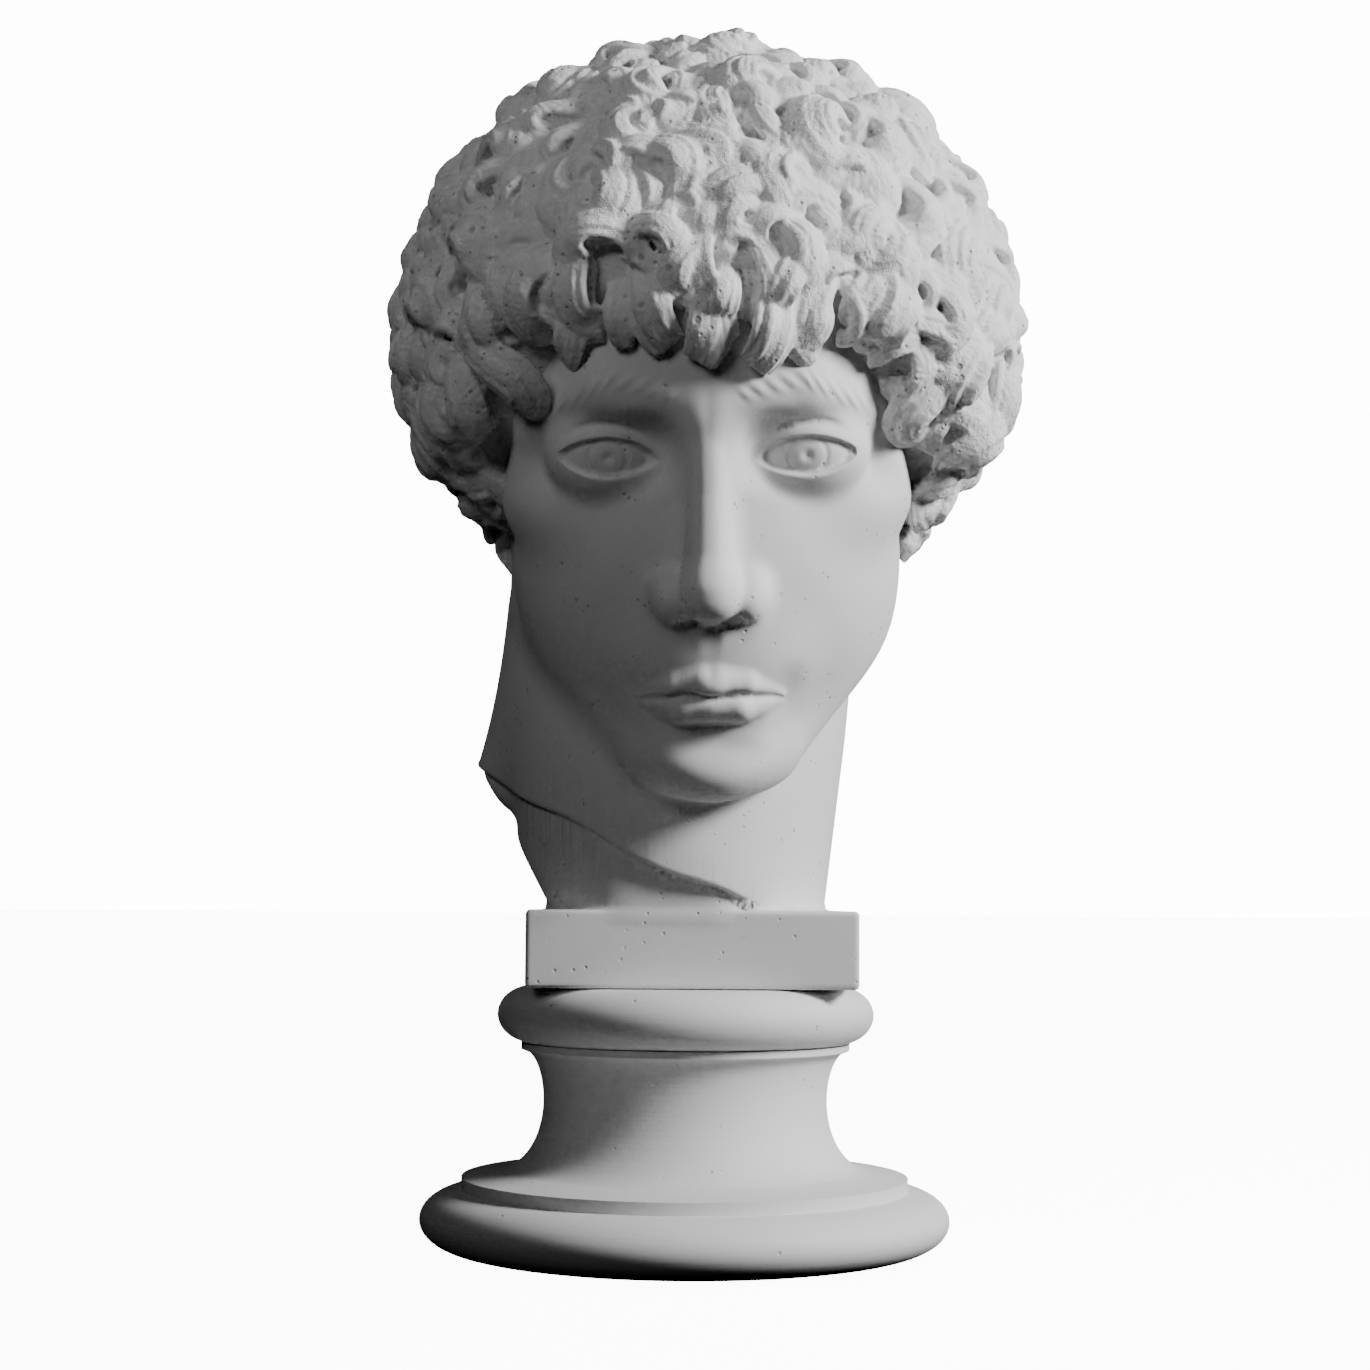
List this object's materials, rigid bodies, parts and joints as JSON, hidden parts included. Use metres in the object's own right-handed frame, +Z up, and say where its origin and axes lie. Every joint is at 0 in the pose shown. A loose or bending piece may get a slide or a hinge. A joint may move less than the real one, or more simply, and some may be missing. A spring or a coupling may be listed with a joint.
{
  "type": "plaster bust",
  "caption": "Classical plaster bust of a curly-haired head on a square block and a turned round socle, a standing ornament or drawing cast.",
  "frame": {"origin": "middle of the socle's flat underside", "axes": "+Z up through the socle, the front of the face looks along -Y, +X is the viewer's right"},
  "size_m": [0.222, 0.237, 0.4183],
  "materials": {
    "bust_plaster": "matte plaster, finely pitted, rough on the ridges of the hair",
    "socle_plaster": "matte plaster, smooth, faint turning marks"
  },
  "bodies": {
    "root": {"bust": "bust_plaster", "socle": "socle_plaster"}
  },
  "joints": []
}
